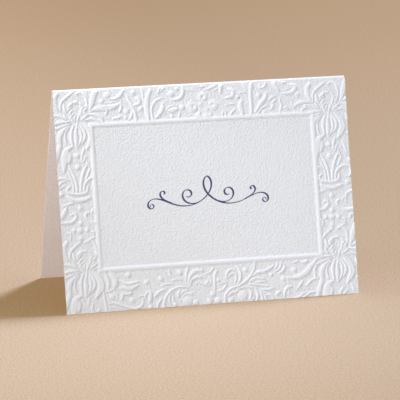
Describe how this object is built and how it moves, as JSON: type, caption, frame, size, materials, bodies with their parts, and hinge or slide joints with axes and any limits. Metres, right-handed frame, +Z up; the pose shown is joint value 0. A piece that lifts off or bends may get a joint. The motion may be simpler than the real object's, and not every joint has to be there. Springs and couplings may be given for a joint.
{
  "type": "folded greeting card",
  "caption": "Folded note card standing as a tent, with an embossed floral border and a bead round the plain centre of its front.",
  "frame": {"origin": "on the floor under the fold, midway between the feet of the two panels and midway along the fold", "axes": "+Z up, +X along the fold to the right of someone facing the embossed panel, -Y out of the embossed panel"},
  "size_m": [0.13, 0.0554, 0.0912],
  "materials": {
    "paper": "uncoated white cotton paper, fine felt tooth"
  },
  "bodies": {
    "root": {"card": "paper"}
  },
  "joints": []
}
